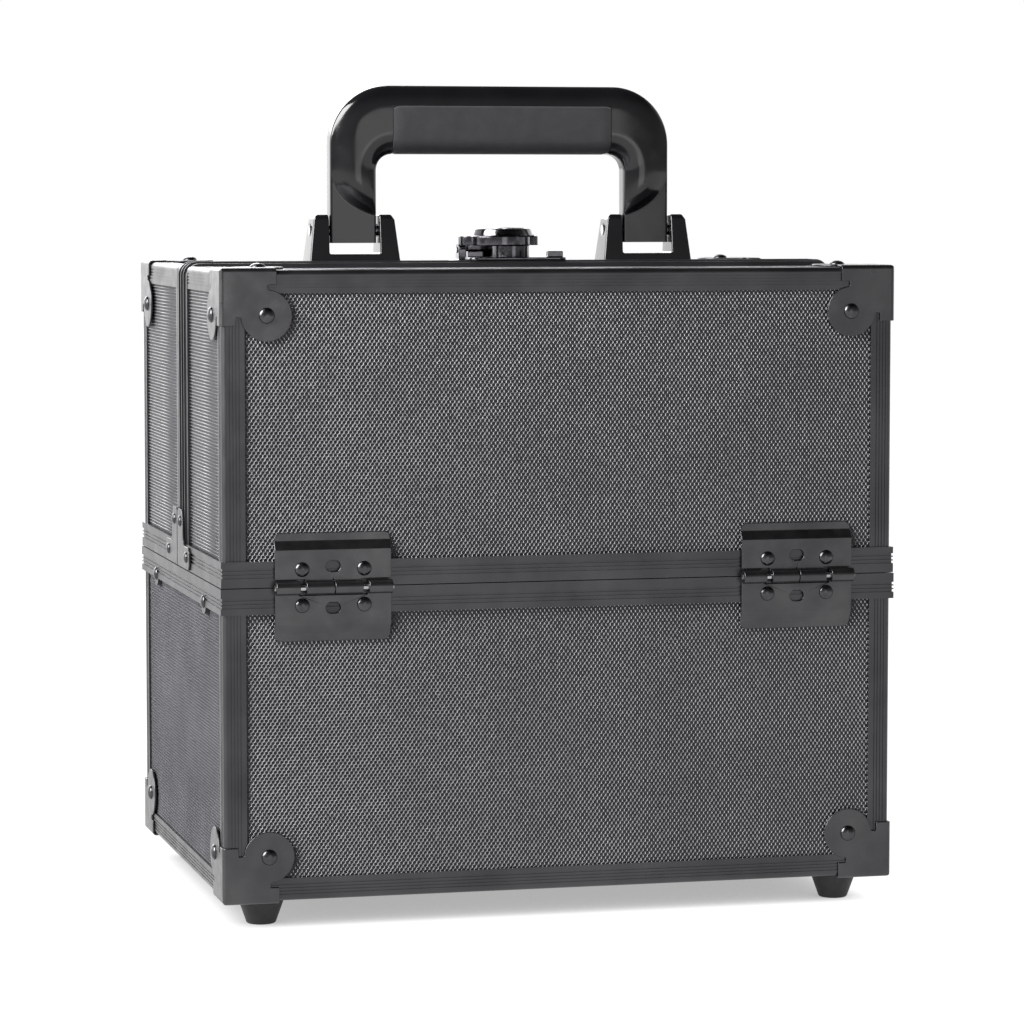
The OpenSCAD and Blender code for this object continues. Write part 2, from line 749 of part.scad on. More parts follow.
// Lever: a lugged plate, a raised disc and the knuckle that it flips on
module latch_lever() color("#2a2a2c") difference() {
    union() {
        translate([lever_x, lever_y, lever_z]) linear_extrude(lever_t) {
            circle(lever_r);
            bar([4.5 - lever_l / 2, 0], [lever_l / 2 - 4.5, 0], 4.5);
        }
        translate([lever_x + 1.5, lever_y, lever_z + lever_t - eps])
            cylinder(r1 = 12, r2 = 11, h = 2.8 + eps);
        block([-9.8, latch_pin_y - 4.4, latch_pin_z], [9.8, latch_pin_y, lever_z + lever_t]);
        translate([-9.8, latch_pin_y, latch_pin_z]) rotate([0, 90, 0])
            cylinder(r = latch_knuckle_r, h = 19.6);
        block([-6, lever_y + lever_r - 3, lever_z], [6, latch_pin_y, lever_z + lever_t]);
    }
    latch_pin_hole(1.2 + run_gap);
    translate([lock_x, lock_y, lever_z - 1]) cylinder(r = 5.5, h = 12, $fn = bore_fn);
}

// Lock barrel under the lever, with a neck that comes up through it
module lock_cylinder() color("#2a2a2c") translate([lock_x, lock_y, 0]) difference() {
    union() {
        translate([0, 0, rail_top + 1.7]) cylinder(r = lock_r, h = lever_z - rail_top - 1.7);
        translate([0, 0, lever_z - 1]) cylinder(r = 5.5, h = 7.6);
    }
    translate([0, 0, lever_z - 3]) cylinder(r = plug_r + run_gap, h = 12, $fn = bore_fn);
}

module lock_plug() color("#a8a8aa") translate([lock_x, lock_y, lever_z - 2.7]) difference() {
    cylinder(r = plug_r, h = 9, $fn = bore_fn);
    translate([-2.4, -0.5, 5]) cube([4.8, 1, 6]);
}

base_front_panel();
base_rear_panel();
base_side_panels();
base_floor_panel();
base_lining();
base_corner_posts();
base_bottom_rails();
base_rim_rails();
base_corner_caps();
base_rivets();
rubber_feet();
foot_screws();
hinge_lower_leaves();
base_hinge_rivets();
hinge_pins();
arm_anchor_plates();
front_wing_face_panel();
front_wing_top_panel();
front_wing_side_panels();
front_wing_lining();
wing_edge_rails(seam_end - seam_rail_w);  // front_wing_edge_rails
front_wing_rim_rails();
front_wing_seam_rail();
wing_corner_caps();  // front_wing_corner_caps
front_wing_seam_brackets();
wing_rivets();  // front_wing_rivets
front_hinge_upper_leaves();
front_hinge_rivets();
front_tray_studs();
latch_keeper();
rear_wing_face_panel();
rear_wing_top_panel();
rear_wing_side_panels();
rear_wing_lining();
rear() wing_edge_rails(seam_end - rail_w);  // rear_wing_edge_rails
rear_wing_rim_rails();
rear_wing_seam_rail();
rear_wing_corner_caps();
rear_wing_seam_brackets();
rear_wing_rivets();
rear_hinge_upper_leaves();
rear_hinge_rivets();
rear_tray_studs();
handle_brackets();
handle_pivot_pins();
latch_base_plate();
latch_pin();
front_lower_tray();
front_upper_tray();
rear_lower_tray();
rear_upper_tray();
front_arms();
rear_arms();
handle_frame();
handle_grip();
latch_lever();
lock_cylinder();
lock_plug();
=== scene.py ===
import json
from math import cos, exp, pi, radians, sin, sqrt

import bmesh
import bpy
from bpy.props import FloatProperty, FloatVectorProperty, IntProperty, PointerProperty
from mathutils import Matrix, Vector


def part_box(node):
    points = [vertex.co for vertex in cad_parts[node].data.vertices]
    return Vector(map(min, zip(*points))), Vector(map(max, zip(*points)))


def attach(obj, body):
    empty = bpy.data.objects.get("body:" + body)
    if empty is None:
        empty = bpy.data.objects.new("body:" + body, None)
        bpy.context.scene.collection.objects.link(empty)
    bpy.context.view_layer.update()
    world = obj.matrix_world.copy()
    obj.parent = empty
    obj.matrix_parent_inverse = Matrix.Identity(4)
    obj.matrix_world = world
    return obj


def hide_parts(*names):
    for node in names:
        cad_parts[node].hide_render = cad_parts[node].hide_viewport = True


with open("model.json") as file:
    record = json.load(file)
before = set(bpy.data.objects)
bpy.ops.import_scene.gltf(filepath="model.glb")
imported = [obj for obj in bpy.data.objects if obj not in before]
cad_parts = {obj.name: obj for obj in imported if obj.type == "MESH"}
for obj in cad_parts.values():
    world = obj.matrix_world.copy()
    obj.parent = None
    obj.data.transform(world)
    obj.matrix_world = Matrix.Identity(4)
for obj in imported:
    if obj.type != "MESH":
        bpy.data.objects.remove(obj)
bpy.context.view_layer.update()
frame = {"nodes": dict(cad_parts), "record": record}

bl_info = {
    "name": "Makeup train case",
    "version": (1, 0, 0),
    "blender": (4, 5, 0),
    "location": "3D View > Sidebar > Train Case",
    "description": "Dresses the train case's frame: mesh and ribbed sheets, rivets, metalwork, handle",
    "category": "Object",
}

MM = 0.001
SAME_PLACE = 0.002 * MM   # vertices closer than this are one
TOUCHING = 0.01 * MM      # places closer than this touch


# ---------- colours and nodes ----------

def linear(hex_colour):
    """The linear red, green and blue of an sRGB hex colour, with full alpha."""
    channels = [int(hex_colour[i:i + 2], 16) / 255 for i in (1, 3, 5)]
    return (*[c / 12.92 if c <= 0.04045 else ((c + 0.055) / 1.055) ** 2.4 for c in channels], 1.0)


def add(tree, kind, sockets=None, **settings):
    """Adds a node with its settings, and sets or links its input sockets."""
    node = tree.nodes.new(kind)
    for name, value in settings.items():
        setattr(node, name, value)
    for key, value in (sockets or {}).items():
        if isinstance(value, bpy.types.NodeSocket):
            tree.links.new(value, node.inputs[key])
        else:
            node.inputs[key].default_value = value
    return node


def ramp(tree, value, start, end, low, high):
    """Eases from low to high as the value goes from start to end."""
    return add(tree, "ShaderNodeMapRange", {
        "Value": value, "From Min": start, "From Max": end, "To Min": low, "To Max": high},
        interpolation_type="SMOOTHSTEP").outputs[0]


# ---------- finishes ----------

class Finish:
    """A material with one Principled shader, and object coordinates counted in millimetres."""

    def __init__(self, name, **sockets):
        self.material = bpy.data.materials.new(name)
        self.material.use_nodes = True
        self.tree = self.material.node_tree
        self.tree.nodes.clear()
        named = {key.replace("_", " "): value for key, value in sockets.items()}
        self.shader = add(self.tree, "ShaderNodeBsdfPrincipled", named)
        add(self.tree, "ShaderNodeOutputMaterial", {"Surface": self.shader.outputs[0]})
        place = add(self.tree, "ShaderNodeTexCoord").outputs["Object"]
        self.place = add(self.tree, "ShaderNodeVectorMath", {0: place, 1: (1 / MM,) * 3},
                         operation="MULTIPLY").outputs[0]

    def cloud(self, size, detail=2.0, stretch=(1, 1, 1)):
        """Soft noise from 0 to 1 whose spots are about size millimetres wide."""
        place = add(self.tree, "ShaderNodeMapping", {"Vector": self.place, "Scale": stretch})
        noise = add(self.tree, "ShaderNodeTexNoise", {
            "Vector": place.outputs[0], "Scale": 1 / size, "Detail": detail})
        return noise.outputs["Fac"]

    def cells(self, size):
        """Distance from the middle of the nearest grain, for grains about size millimetres wide."""
        return add(self.tree, "ShaderNodeTexVoronoi", {
            "Vector": self.place, "Scale": 1 / size}).outputs["Distance"]

    def spread(self, factor, low=0.0, high=1.0):
        """Runs from low to high as the factor goes from 0.3 to 0.7, where most noise lies."""
        return add(self.tree, "ShaderNodeMapRange", {
            "Value": factor, "From Min": 0.3, "From Max": 0.7,
            "To Min": low, "To Max": high}).outputs[0]

    def colour(self, factor, dark, light):
        """Spreads the base colour from dark to light by the factor."""
        mixed = add(self.tree, "ShaderNodeMix", {
            0: self.spread(factor), 6: linear(dark), 7: linear(light)}, data_type="RGBA")
        self.tree.links.new(mixed.outputs[2], self.shader.inputs["Base Color"])

    def roughness(self, factor, low, high):
        """Spreads the roughness from low to high by the factor."""
        self.tree.links.new(self.spread(factor, low, high), self.shader.inputs["Roughness"])

    def relief(self, height, depth):
        """Raises the surface by the height field, depth millimetres from lowest to highest."""
        bump = add(self.tree, "ShaderNodeBump", {
            "Height": height, "Strength": 1.0, "Distance": depth * MM})
        self.tree.links.new(bump.outputs[0], self.shader.inputs["Normal"])


def anodised_aluminium():
    """Extruded aluminium, fine-blasted and anodised black: dark, satin, a broad soft highlight."""
    made = Finish("anodised aluminium, black", Metallic=0.95)
    made.colour(made.cloud(24), "#434345", "#505052")
    made.roughness(made.cloud(9, 4), 0.3, 0.4)
    made.relief(made.cloud(0.25), 0.006)
    return made.material


def coated_steel():
    """Pressed steel with a thin black electrophoretic coat: smooth, with a faint orange peel."""
    made = Finish("pressed steel, black e-coat", Metallic=0.95)
    made.colour(made.cloud(14, 3), "#474749", "#555556")
    made.roughness(made.cloud(5, 4), 0.26, 0.36)
    made.relief(made.cloud(0.9, 3), 0.012)
    return made.material


def black_nickel():
    """Cold-headed steel rivets plated in black nickel: dark, glossy, small bright highlights."""
    made = Finish("steel rivet, black nickel", Metallic=1.0)
    made.colour(made.cloud(3), "#454547", "#555557")
    made.roughness(made.cloud(1.2, 3), 0.2, 0.32)
    made.relief(made.cloud(0.5), 0.008)
    return made.material


def silvered_mesh():
    """Pressed foil mesh laminated to the boards: its strands catch the light."""
    made = Finish("pressed mesh foil, silver grey", Metallic=1.0)
    made.colour(made.cloud(30, 3), "#a4a4a8", "#b4b4b8")
    made.roughness(made.cloud(2.5, 3), 0.28, 0.4)
    return made.material


def shaded_side_mesh():
    """The same foil with a darker colour on the tub's two sides, painted shade: soft grey, little
    sparkle.
    """
    made = Finish("pressed mesh foil, dull grey", Metallic=0.6)
    made.colour(made.cloud(30, 3), "#4e4e52", "#5c5c60")
    made.roughness(made.cloud(2.5, 3), 0.4, 0.5)
    return made.material


def laminate():
    """Melamine-faced fibreboard under the sheets and at the floor: near black, dull."""
    made = Finish("melamine laminate, black", Metallic=0.0)
    made.colour(made.cloud(6, 3), "#0b0b0d", "#131315")
    made.roughness(made.cloud(3, 3), 0.5, 0.62)
    made.relief(made.cells(0.35), 0.02)
    return made.material


def ribbed_foil():
    """Ribbed metallised sheet on the wings' sides: bright crests over dark valleys."""
    made = Finish("ribbed metallised sheet", Metallic=0.7)
    made.colour(made.cloud(18, 2, (1, 0.2, 1)), "#626064", "#706e72")
    made.roughness(made.cloud(4, 3), 0.3, 0.42)
    return made.material


def flocked_felt():
    """Nylon flock on foam inside the case: deep black, with a soft sheen along its edges."""
    made = Finish("flocked felt, black", Sheen_Weight=0.6, Sheen_Roughness=0.4, Roughness=0.95)
    made.colour(made.cloud(1.4, 4), "#111113", "#1e1e21")
    made.relief(made.cloud(0.4, 4), 0.12)
    return made.material


def moulded_rubber():
    """Moulded nitrile rubber: black and matt, with a fine cast grain."""
    made = Finish("nitrile rubber, black", IOR=1.52)
    made.colour(made.cloud(4, 3), "#131314", "#1c1c1d")
    made.roughness(made.cloud(2, 3), 0.55, 0.7)
    made.relief(made.cloud(0.5, 3), 0.03)
    return made.material


def zinc_plated_steel():
    """Zinc-plated steel screws: light grey, with a dull bloom in places."""
    made = Finish("steel screw, zinc plated", Metallic=1.0)
    made.colour(made.cloud(2, 3), "#8e8f93", "#a9aaad")
    made.roughness(made.cloud(0.8, 3), 0.3, 0.5)
    return made.material


def bright_steel():
    """Drawn steel wire for the pins: bright, with fine lines along the wire."""
    made = Finish("drawn steel pin", Metallic=1.0)
    made.colour(made.cloud(1.5, 2, (0.1, 1, 1)), "#9d9da0", "#bcbcbf")
    made.roughness(made.cloud(1, 3, (0.1, 1, 1)), 0.18, 0.3)
    return made.material


def nickel_plated_steel():
    """Stamped, nickel-plated steel for the arms and studs: warm light grey, faint brushing."""
    made = Finish("stamped steel, nickel plated", Metallic=1.0)
    made.colour(made.cloud(8, 3), "#a19f9b", "#b7b5b0")
    made.roughness(made.cloud(1.5, 4, (1, 0.15, 0.15)), 0.2, 0.36)
    made.relief(made.cloud(0.3, 2, (1, 0.2, 0.2)), 0.004)
    return made.material


def gloss_abs():
    """Black ABS from a polished mould: deep gloss, with slight unevenness in the skin."""
    made = Finish("ABS, gloss black", IOR=1.53)
    made.colour(made.cloud(20, 2), "#0e0e10", "#141416")
    made.roughness(made.cloud(7, 4), 0.09, 0.17)
    made.relief(made.cloud(11, 1), 0.02)
    return made.material


def soft_touch():
    """Thermoplastic rubber over-moulded on the grip: dark grey, matt, finely pebbled."""
    made = Finish("soft-touch TPE, charcoal", IOR=1.5, Sheen_Weight=0.15, Sheen_Roughness=0.5)
    made.colour(made.cloud(5, 4), "#28282a", "#313133")
    made.roughness(made.cloud(1.5, 4), 0.52, 0.64)
    made.relief(made.cells(0.55), 0.05)
    return made.material


def grained_abs():
    """Black ABS trays from a spark-eroded mould: satin, with an even fine grain."""
    made = Finish("ABS, spark grain", IOR=1.53)
    made.colour(made.cloud(12, 3), "#19191b", "#222224")
    made.roughness(made.cloud(3, 3), 0.38, 0.5)
    made.relief(made.cells(0.4), 0.025)
    return made.material


def black_chrome():
    """Die-cast zinc plated in black chrome: sharp dark reflections with light edges."""
    made = Finish("die-cast zinc, black chrome", Metallic=1.0)
    made.colour(made.cloud(4, 3), "#57565a", "#6a686c")
    made.roughness(made.cloud(1.6, 4), 0.08, 0.2)
    made.relief(made.cloud(2.5, 2), 0.01)
    return made.material


def nickel_plug():
    """Turned brass lock plug, nickel plated: bright, with fine turning marks."""
    made = Finish("turned brass, nickel plated", Metallic=1.0)
    made.colour(made.cloud(1.5, 3), "#a29f99", "#bab7b0")
    made.roughness(made.cloud(0.6, 3), 0.16, 0.3)
    return made.material


def painted_floor():
    """Seamless studio floor: glows evenly white, with a painted contact shadow close under the case.
    """
    made = Finish("matt white paint", IOR=1.45, Roughness=0.9)
    made.colour(made.cloud(400, 2), "#101010", "#121212")
    # Painted shadow: the white glow is dimmed by ambient occlusion wherever the case stands close
    # above the floor
    near = add(made.tree, "ShaderNodeAmbientOcclusion", {"Distance": 60 * MM}, samples=16)
    shade = ramp(made.tree, near.outputs["AO"], 0.0, 0.4, 0.4, 1.02)
    made.shader.inputs["Emission Color"].default_value = linear("#ffffff")
    made.tree.links.new(shade, made.shader.inputs["Emission Strength"])
    return made.material


# Each CAD material slot and the finish that its nodes take
SLOT_FINISHES = {
    "rail_aluminium": anodised_aluminium, "pressed_steel": coated_steel,
    "mesh_board": laminate, "ribbed_board": laminate, "lining": flocked_felt,
    "rivet_steel": black_nickel, "rubber": moulded_rubber, "screw_steel": zinc_plated_steel,
    "pin_steel": bright_steel, "arm_steel": nickel_plated_steel, "handle_plastic": gloss_abs,
    "grip_plastic": soft_touch, "tray_plastic": grained_abs, "latch_metal": black_chrome,
    "lock_steel": nickel_plug}


finishes_made = {}


def finish_by(maker):
    """The material that a maker makes, made only once."""
    if maker not in finishes_made:
        finishes_made[maker] = maker()
    return finishes_made[maker]


# ---------- pieces ----------

def add_piece(name, mesh, body, slot, maker=None, replaces=()):
    """Adds a finished mesh as a piece that rides on a body and may stand for CAD nodes."""
    mesh.name = name
    piece = bpy.data.objects.new(name, mesh)
    bpy.context.scene.collection.objects.link(piece)
    mesh.materials.clear()
    mesh.materials.append(finish_by(maker or SLOT_FINISHES[slot]))
    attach(piece, body)
    if replaces:
        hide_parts(*replaces)
    return piece


def body_of_node(node):
    """The CAD body that a node belongs to."""
    bodies = frame["record"]["behaviour"]["bodies"]
    return next(body for body, nodes in bodies.items() if node in nodes)


def slot_of_node(node):
    """The record's material slot of a CAD node."""
    return next(part["material_slot"] for part in frame["record"]["subparts"]
                if part["node"] == node)


def welded_copy(node):
    """A CAD node's mesh as a bmesh, with the vertices that share a place joined."""
    work = bmesh.new()
    work.from_mesh(frame["nodes"][node].data)
    bmesh.ops.remove_doubles(work, verts=work.verts, dist=SAME_PLACE)
    return work


def evaluated(obj):
    """The plain mesh of an object with its modifiers applied; the object itself is removed."""
    graph = bpy.context.evaluated_depsgraph_get()
    mesh = bpy.data.meshes.new_from_object(obj.evaluated_get(graph), depsgraph=graph)
    bpy.data.objects.remove(obj)
    return mesh


def softened(node, width, segments):
    """A CAD node's shape with every sharp edge rounded, as pressing or moulding leaves it."""
    flat, any_shape, sharp = radians(0.5), radians(180), radians(30)
    work = welded_copy(node)
    # Flat triangles are paired up first, so that the rounding has fewer slivers to follow
    bmesh.ops.join_triangles(work, faces=work.faces, angle_face_threshold=flat,
                             angle_shape_threshold=any_shape)
    mesh = bpy.data.meshes.new(node)
    work.to_mesh(mesh)
    work.free()
    mesh.shade_smooth()
    obj = bpy.data.objects.new(node, mesh)
    bpy.context.scene.collection.objects.link(obj)
    bevel = obj.modifiers.new("round edges", "BEVEL")
    bevel.width = width
    bevel.segments = segments
    bevel.limit_method = "ANGLE"
    bevel.angle_limit = sharp
    bevel.use_clamp_overlap = False
    bevel.miter_outer = "MITER_ARC"
    # The largest faces steer the shading, which keeps flats flat
    weighted = obj.modifiers.new("flat faces", "WEIGHTED_NORMAL")
    weighted.weight = 100
    return evaluated(obj)


# ---------- geometry nodes ----------

class Grower:
    """A geometry node tree with named inputs, run once for each mesh that it makes."""

    def __init__(self, name, inputs):
        self.tree = bpy.data.node_groups.new(name, "GeometryNodeTree")
        self.tree.interface.new_socket("Geometry", in_out="INPUT",
                                       socket_type="NodeSocketGeometry")
        self.tree.interface.new_socket("Geometry", in_out="OUTPUT",
                                       socket_type="NodeSocketGeometry")
        self.identifiers = {}
        for label, kind in inputs.items():
            socket = self.tree.interface.new_socket(label, in_out="INPUT",
                                                    socket_type="NodeSocket" + kind)
            self.identifiers[label] = socket.identifier
        self.given = self.add("NodeGroupInput").outputs

    def add(self, kind, sockets=None, **settings):
        """Adds a node to the tree."""
        return add(self.tree, kind, sockets, **settings)

    def math(self, operation, a, b=0.0):
        """The result of one Math node."""
        return self.add("ShaderNodeMath", {0: a, 1: b}, operation=operation).outputs[0]

    def vector(self, x=0.0, y=0.0, z=0.0):
        """A vector from three numbers or sockets."""
        return self.add("ShaderNodeCombineXYZ", {"X": x, "Y": y, "Z": z}).outputs[0]

    def finish(self, instances, smooth=True):
        """Ends the tree: real geometry, its shading, one material, then the output."""
        real = self.add("GeometryNodeRealizeInstances", {"Geometry": instances}).outputs[0]
        shaded = self.add("GeometryNodeSetShadeSmooth", {
            "Geometry": real, "Shade Smooth": smooth}).outputs[0]
        coated = self.add("GeometryNodeSetMaterial", {
            "Geometry": shaded, "Material": self.given["Material"]}).outputs[0]
        self.add("NodeGroupOutput", {"Geometry": coated})

    def grow(self, values, start=None):
        """Runs the tree with the given inputs and returns the plain mesh."""
        obj = bpy.data.objects.new("grown", start or bpy.data.meshes.new("start"))
        bpy.context.scene.collection.objects.link(obj)
        modifier = obj.modifiers.new("grower", "NODES")
        modifier.node_group = self.tree
        for label, value in values.items():
            modifier[self.identifiers[label]] = value
        return evaluated(obj)


def mesh_sheet_grower():
    """Staggered rows of six-sided cells, each pressed down to a smaller opening."""
    pressed_share = 0.9   # of the strands' height; the rest keeps the openings off the board
    weld_share = 0.05     # of the pitch
    g = Grower("pressed mesh sheet", {
        "Width": "Float", "Height": "Float", "Pitch": "Float", "Row": "Float",
        "Proud": "Float", "Opening": "Float", "Lean": "Float", "Material": "Material"})
    given = g.given
    columns = g.math("FLOOR", g.math("DIVIDE", given["Width"], given["Pitch"]))
    rows = g.math("FLOOR", g.math("DIVIDE", given["Height"], given["Row"]))
    deep = g.math("MULTIPLY", g.math("SUBTRACT", rows, 1), given["Row"])
    grid = g.add("GeometryNodeMeshGrid", {
        "Size X": g.math("MULTIPLY", g.math("SUBTRACT", columns, 1), given["Pitch"]),
        "Size Y": deep, "Vertices X": columns, "Vertices Y": rows}).outputs["Mesh"]
    place = g.add("ShaderNodeSeparateXYZ", {0: g.add("GeometryNodeInputPosition").outputs[0]})
    from_edge = g.math("ADD", place.outputs["Y"], g.math("DIVIDE", deep, 2.0))
    row = g.math("ROUND", g.math("DIVIDE", from_edge, given["Row"]))
    odd = g.math("SUBTRACT", g.math("MODULO", row, 2.0), 0.5)
    shift = g.math("MULTIPLY", odd, g.math("DIVIDE", given["Pitch"], 2.0))
    points = g.add("GeometryNodeSetPosition", {
        "Geometry": grid, "Offset": g.vector(x=shift)}).outputs[0]
    # A hexagon of unit radius is sqrt(3) wide, and staggered rows of it stand 1.5 apart
    disc = g.add("GeometryNodeMeshCircle", {"Vertices": 6, "Radius": 1.0},
                 fill_type="NGON").outputs[0]
    cell = g.add("GeometryNodeTransform", {
        "Geometry": disc, "Rotation": (0, 0, pi / 2),
        "Scale": g.vector(g.math("DIVIDE", given["Row"], 1.5),
                          g.math("DIVIDE", given["Pitch"], sqrt(3)), 1.0)}).outputs[0]
    pressed = g.add("GeometryNodeExtrudeMesh", {
        "Mesh": cell, "Offset Scale": g.math("MULTIPLY", given["Proud"], -pressed_share)})
    dished = g.add("GeometryNodeScaleElements", {
        "Geometry": pressed.outputs["Mesh"], "Selection": pressed.outputs["Top"],
        "Scale": given["Opening"]}).outputs[0]
    lean = g.math("MULTIPLY", given["Lean"], given["Pitch"])
    leaning = g.add("GeometryNodeSetPosition", {
        "Geometry": dished, "Selection": pressed.outputs["Top"],
        "Offset": g.vector(x=g.math("MULTIPLY", lean, -1.0), y=lean)}).outputs[0]
    opened = g.add("GeometryNodeDeleteGeometry", {
        "Geometry": leaning, "Selection": pressed.outputs["Top"]}, domain="FACE").outputs[0]
    cells = g.add("GeometryNodeInstanceOnPoints", {"Points": points, "Instance": opened}).outputs[0]
    joined = g.add("GeometryNodeMergeByDistance", {
        "Geometry": g.add("GeometryNodeRealizeInstances", {"Geometry": cells}).outputs[0],
        "Distance": g.math("MULTIPLY", given["Pitch"], weld_share)}).outputs[0]
    raised = g.add("GeometryNodeTransform", {
        "Geometry": joined, "Translation": g.vector(z=given["Proud"])}).outputs[0]
    g.finish(raised, smooth=False)
    return g


def rib_grower():
    """A stack of half-round ribs along X, standing out along Z."""
    g = Grower("ribbed sheet", {
        "Width": "Float", "Height": "Float", "Pitch": "Float", "Rib": "Float",
        "Proud": "Float", "Material": "Material"})
    given = g.given
    count = g.math("FLOOR", g.math("DIVIDE", given["Height"], given["Pitch"]))
    span = g.math("MULTIPLY", g.math("SUBTRACT", count, 1), given["Pitch"])
    line = g.add("GeometryNodeMeshLine", {
        "Count": count, "Start Location": g.vector(y=g.math("MULTIPLY", span, -0.5)),
        "Offset": g.vector(y=given["Pitch"])}).outputs[0]
    sides = 12
    bar = g.add("GeometryNodeMeshCylinder", {
        "Vertices": sides, "Radius": 1.0, "Depth": given["Width"]}).outputs["Mesh"]
    rib = g.add("GeometryNodeTransform", {
        "Geometry": bar, "Rotation": (0, pi / 2, 0),
        "Scale": g.vector(given["Proud"], g.math("MULTIPLY", given["Rib"], 0.5), 1.0)}).outputs[0]
    g.finish(g.add("GeometryNodeInstanceOnPoints", {"Points": line, "Instance": rib}).outputs[0])
    return g


def rivet_grower():
    """A domed head on each point, turned to the point's facing."""
    rings = 14
    sunk = 0.1   # how far the flat underside lies below the seat, as a share of the height
    g = Grower("rivet heads", {"Segments": "Int", "Material": "Material"})

    def stored(name, kind):
        return g.add("GeometryNodeInputNamedAttribute", {"Name": name},
                     data_type=kind).outputs["Attribute"]

    ball = g.add("GeometryNodeMeshUVSphere", {
        "Segments": g.given["Segments"], "Rings": rings, "Radius": 1.0}).outputs["Mesh"]
    place = g.add("ShaderNodeSeparateXYZ", {0: g.add("GeometryNodeInputPosition").outputs[0]})
    flat = g.math("MAXIMUM", place.outputs["Z"], -sunk)
    head = g.add("GeometryNodeSetPosition", {
        "Geometry": ball,
        "Position": g.vector(place.outputs["X"], place.outputs["Y"], flat)}).outputs[0]
    turn = g.add("FunctionNodeAlignRotationToVector", {
        "Vector": stored("facing", "FLOAT_VECTOR")}, axis="Z").outputs[0]
    across = stored("radius", "FLOAT")
    heads = g.add("GeometryNodeInstanceOnPoints", {
        "Points": g.given["Geometry"], "Instance": head, "Rotation": turn,
        "Scale": g.vector(across, across, stored("height", "FLOAT"))}).outputs[0]
    g.finish(heads)
    return g


# ---------- sheets on the boards ----------

# The right and up directions of a sheet seen from outside, for each face of the case
FACINGS = {
    "front": (Vector((1, 0, 0)), Vector((0, 0, 1))),
    "rear": (Vector((-1, 0, 0)), Vector((0, 0, 1))),
    "left": (Vector((0, -1, 0)), Vector((0, 0, 1))),
    "right": (Vector((0, 1, 0)), Vector((0, 0, 1))),
    "top": (Vector((1, 0, 0)), Vector((0, 1, 0)))}


def outer_face(node, facing):
    """The middle, width and height of a node's box on the side that it faces."""
    low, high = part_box(node)
    right, up = FACINGS[facing]
    out = right.cross(up)
    middle = (low + high) / 2
    size = high - low
    half = Vector([abs(n) * s / 2 for n, s in zip(out, size)])
    centre = middle + Vector([n * h for n, h in zip(out, half)])
    return centre, abs(right.dot(size)), abs(up.dot(size))


def stand(mesh, centre, facing):
    """Moves a flat mesh from the XY plane onto a face of the case."""
    right, up = FACINGS[facing]
    out = right.cross(up)
    mesh.transform(Matrix.Translation(centre) @ Matrix((right, up, out)).transposed().to_4x4())
    return mesh


def cut_back(centre, width, height, facing, trims):
    """Trims a face by its left, right, bottom and top margins."""
    left_trim, right_trim, low_trim, top_trim = trims
    right, up = FACINGS[facing]
    centre = centre + right * (left_trim - right_trim) / 2 + up * (low_trim - top_trim) / 2
    return centre, width - left_trim - right_trim, height - low_trim - top_trim


def joined(meshes):
    """One mesh from several."""
    work = bmesh.new()
    for mesh in meshes:
        work.from_mesh(mesh)
    whole = bpy.data.meshes.new("joined")
    work.to_mesh(whole)
    work.free()
    return whole


def length(name, description, millimetres):
    """A length property with its default in millimetres."""
    return FloatProperty(name=name, description=description, default=millimetres * MM,
                         unit="LENGTH")


class SheetSizes(bpy.types.PropertyGroup):
    """Sizes of the pressed mesh and of the ribbed sheet."""
    mesh_pitch: length("Mesh pitch", "Distance between openings in a row", 1.58)
    mesh_row: length("Mesh row", "Distance between rows of openings", 1.15)
    mesh_proud: length("Mesh height", "Height of the strands above the board", 0.2)
    mesh_opening: FloatProperty(
        name="Opening", description="Size of an opening as a share of its cell",
        default=0.76, min=0.3, max=0.9, subtype="FACTOR")
    mesh_lean: FloatProperty(
        name="Lean", description="How far each opening is pressed to the upper left, in pitches",
        default=0.06, min=0.0, max=0.1, subtype="FACTOR")
    rib_pitch: length("Rib pitch", "Distance between the ribs on the wings' sides", 1.2)
    rib_width: length("Rib width", "Width of one rib", 0.5)
    rib_proud: length("Rib height", "Height of a rib above the board", 0.5)
    rail_cover: length("Rail cover", "How far in from a board's edge its sheet starts", 6.4)


